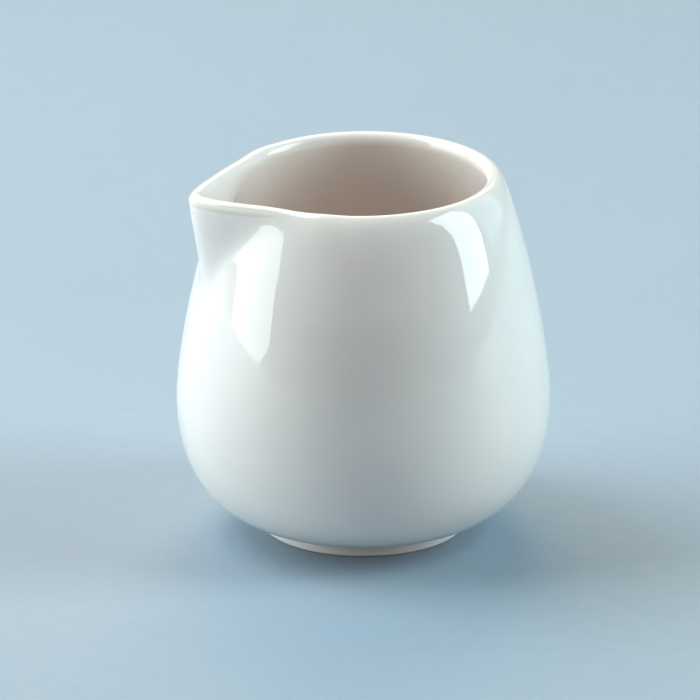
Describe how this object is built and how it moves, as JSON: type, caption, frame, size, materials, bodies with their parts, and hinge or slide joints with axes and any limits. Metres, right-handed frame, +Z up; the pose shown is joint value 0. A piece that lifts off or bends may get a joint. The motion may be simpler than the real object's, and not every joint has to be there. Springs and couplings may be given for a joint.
{
  "type": "cream jug",
  "caption": "Handleless round-bellied porcelain cream jug with a pinched pouring spout, a rounded rim and a low foot ring, clear glazed all over but for its standing edge.",
  "frame": {"origin": "centre of the foot ring, on the plane the jug stands on", "axes": "+Z up along the jug's axis; -X points the way the spout pours; the jug is mirror-symmetric about the XZ plane"},
  "size_m": [0.076, 0.076, 0.075],
  "materials": {
    "porcelain": "matte",
    "glaze": "polished"
  },
  "bodies": {
    "root": {"porcelain_body": "porcelain", "outer_glaze": "glaze", "liner_glaze": "glaze", "underside_glaze": "glaze"}
  },
  "joints": []
}
